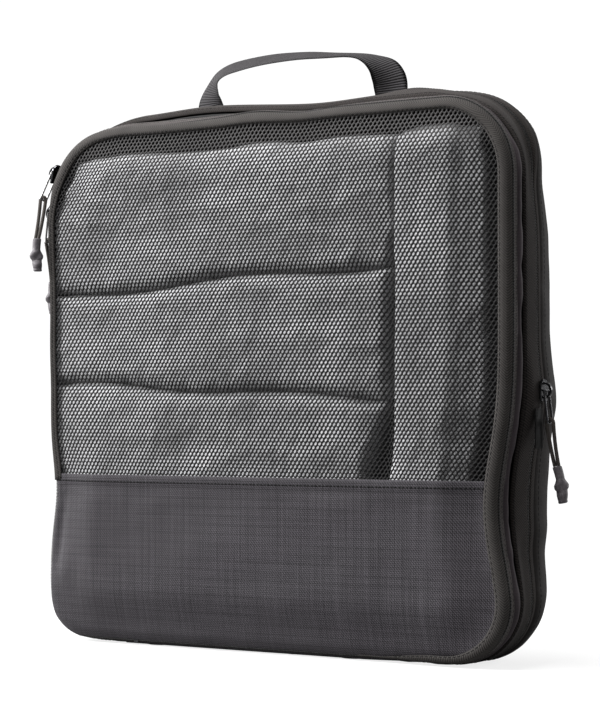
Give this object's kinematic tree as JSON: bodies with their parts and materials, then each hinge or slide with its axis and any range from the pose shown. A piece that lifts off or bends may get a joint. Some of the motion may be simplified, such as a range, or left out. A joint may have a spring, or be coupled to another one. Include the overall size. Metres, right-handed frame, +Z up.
{
  "type": "packing cube",
  "caption": "Rounded soft case standing on its edge, with a zipped mesh front panel, a second zip that closes an expanding gusset, and a webbing carry handle.",
  "frame": {"origin": "on the floor under the middle of the body, halfway between the front and the back panel", "axes": "+X to the right, +Y from the front panel to the back panel, +Z up, with the mesh front panel facing -Y"},
  "size_m": [0.3503, 0.0768, 0.3579],
  "materials": {
    "shell_fabric": "matt nylon",
    "ripstop_fabric": "matt ripstop nylon",
    "mesh": "open hexagonal net",
    "zip_tape": "woven polyester",
    "zip_coil": "satin",
    "webbing": "ribbed grosgrain",
    "slider_metal": "glossy gunmetal",
    "pull_cord": "braided",
    "pull_sleeve": "matt"
  },
  "bodies": {
    "rear_shell": {"back_panel": "shell_fabric", "rear_band": "shell_fabric", "rear_seam_binding": "zip_tape", "compression_tape_rear": "zip_tape", "compression_coil_rear": "zip_coil", "rear_gusset_half": "shell_fabric", "handle_bartacks": "webbing"},
    "handle": {"handle_webbing": "webbing"},
    "front_frame": {"front_gusset_half": "shell_fabric", "compression_tape_front": "zip_tape", "compression_coil_front": "zip_coil", "compression_zip_end_tab": "zip_tape", "front_gusset": "shell_fabric", "main_tape_frame": "zip_tape", "main_coil_frame": "zip_coil", "main_zip_end_stops": "slider_metal", "hinge_strip": "shell_fabric"},
    "front_panel": {"main_tape_lid": "zip_tape", "main_coil_lid": "zip_coil", "mesh_panel": "mesh", "lower_panel": "ripstop_fabric", "lid_seam_binding": "zip_tape", "panel_seam_tape": "zip_tape"},
    "upper_slider": {"upper_slider_body": "slider_metal"},
    "upper_wire": {"upper_wire_pull": "slider_metal"},
    "upper_pull": {"upper_pull_cord": "pull_cord", "upper_pull_sleeve": "pull_sleeve"},
    "lower_slider": {"lower_slider_body": "slider_metal"},
    "lower_wire": {"lower_wire_pull": "slider_metal"},
    "lower_pull": {"lower_pull_cord": "pull_cord", "lower_pull_sleeve": "pull_sleeve"},
    "compression_slider": {"compression_slider_body": "slider_metal"},
    "compression_wire": {"compression_wire_pull": "slider_metal"},
    "compression_pull": {"compression_pull_cord": "pull_cord", "compression_pull_sleeve": "pull_sleeve"}
  },
  "joints": [
    {"name": "compression_expand", "type": "slide", "parent": "rear_shell", "child": "front_frame", "axis": [0, -1, 0], "range_m": [0, 0.036]},
    {"name": "front_panel_hinge", "type": "hinge", "parent": "front_frame", "child": "front_panel", "pos_m": [0, -0.0365, 0], "axis": [1, 0, 0], "range_deg": [0, 170]},
    {"name": "handle_flex", "type": "hinge", "parent": "rear_shell", "child": "handle", "pos_m": [0, 0.006, 0.324], "axis": [1, 0, 0], "range_deg": [-50, 50], "stiffness_Nm_per_rad": 0.02},
    {"name": "upper_slider_run", "type": "hinge", "parent": "front_frame", "child": "upper_slider", "pos_m": [-0.113, -0.027, 0.273], "axis": [0, 1, 0], "range_deg": [0, 70]},
    {"name": "upper_wire_hinge", "type": "hinge", "parent": "upper_slider", "child": "upper_wire", "pos_m": [-0.16317, -0.027, 0.28882], "axis": [-0.0778, 0.9659, -0.2468], "range_deg": [0, 100]},
    {"name": "upper_pull_hinge", "type": "hinge", "parent": "upper_wire", "child": "upper_pull", "pos_m": [-0.16839, -0.03166, 0.27224], "axis": [-0.0778, 0.9659, -0.2468], "range_deg": [0, 60]},
    {"name": "lower_slider_run", "type": "slide", "parent": "front_frame", "child": "lower_slider", "axis": [0, 0, 1], "range_m": [-0.2, 0.003]},
    {"name": "lower_wire_hinge", "type": "hinge", "parent": "lower_slider", "child": "lower_wire", "pos_m": [-0.1656, -0.027, 0.264], "axis": [0, 1, 0], "range_deg": [0, 100]},
    {"name": "lower_pull_hinge", "type": "hinge", "parent": "lower_wire", "child": "lower_pull", "pos_m": [-0.16779, -0.027, 0.24613], "axis": [0, 1, 0], "range_deg": [0, 60]},
    {"name": "compression_slider_run", "type": "slide", "parent": "rear_shell", "child": "compression_slider", "axis": [0, 0, 1], "range_m": [-0.002, 0.11]},
    {"name": "compression_wire_hinge", "type": "hinge", "parent": "compression_slider", "child": "compression_wire", "pos_m": [0.1656, 0, 0.152], "axis": [0, -1, 0], "range_deg": [0, 100]},
    {"name": "compression_pull_hinge", "type": "hinge", "parent": "compression_wire", "child": "compression_pull", "pos_m": [0.16779, 0, 0.13413], "axis": [0, -1, 0], "range_deg": [0, 60]}
  ]
}
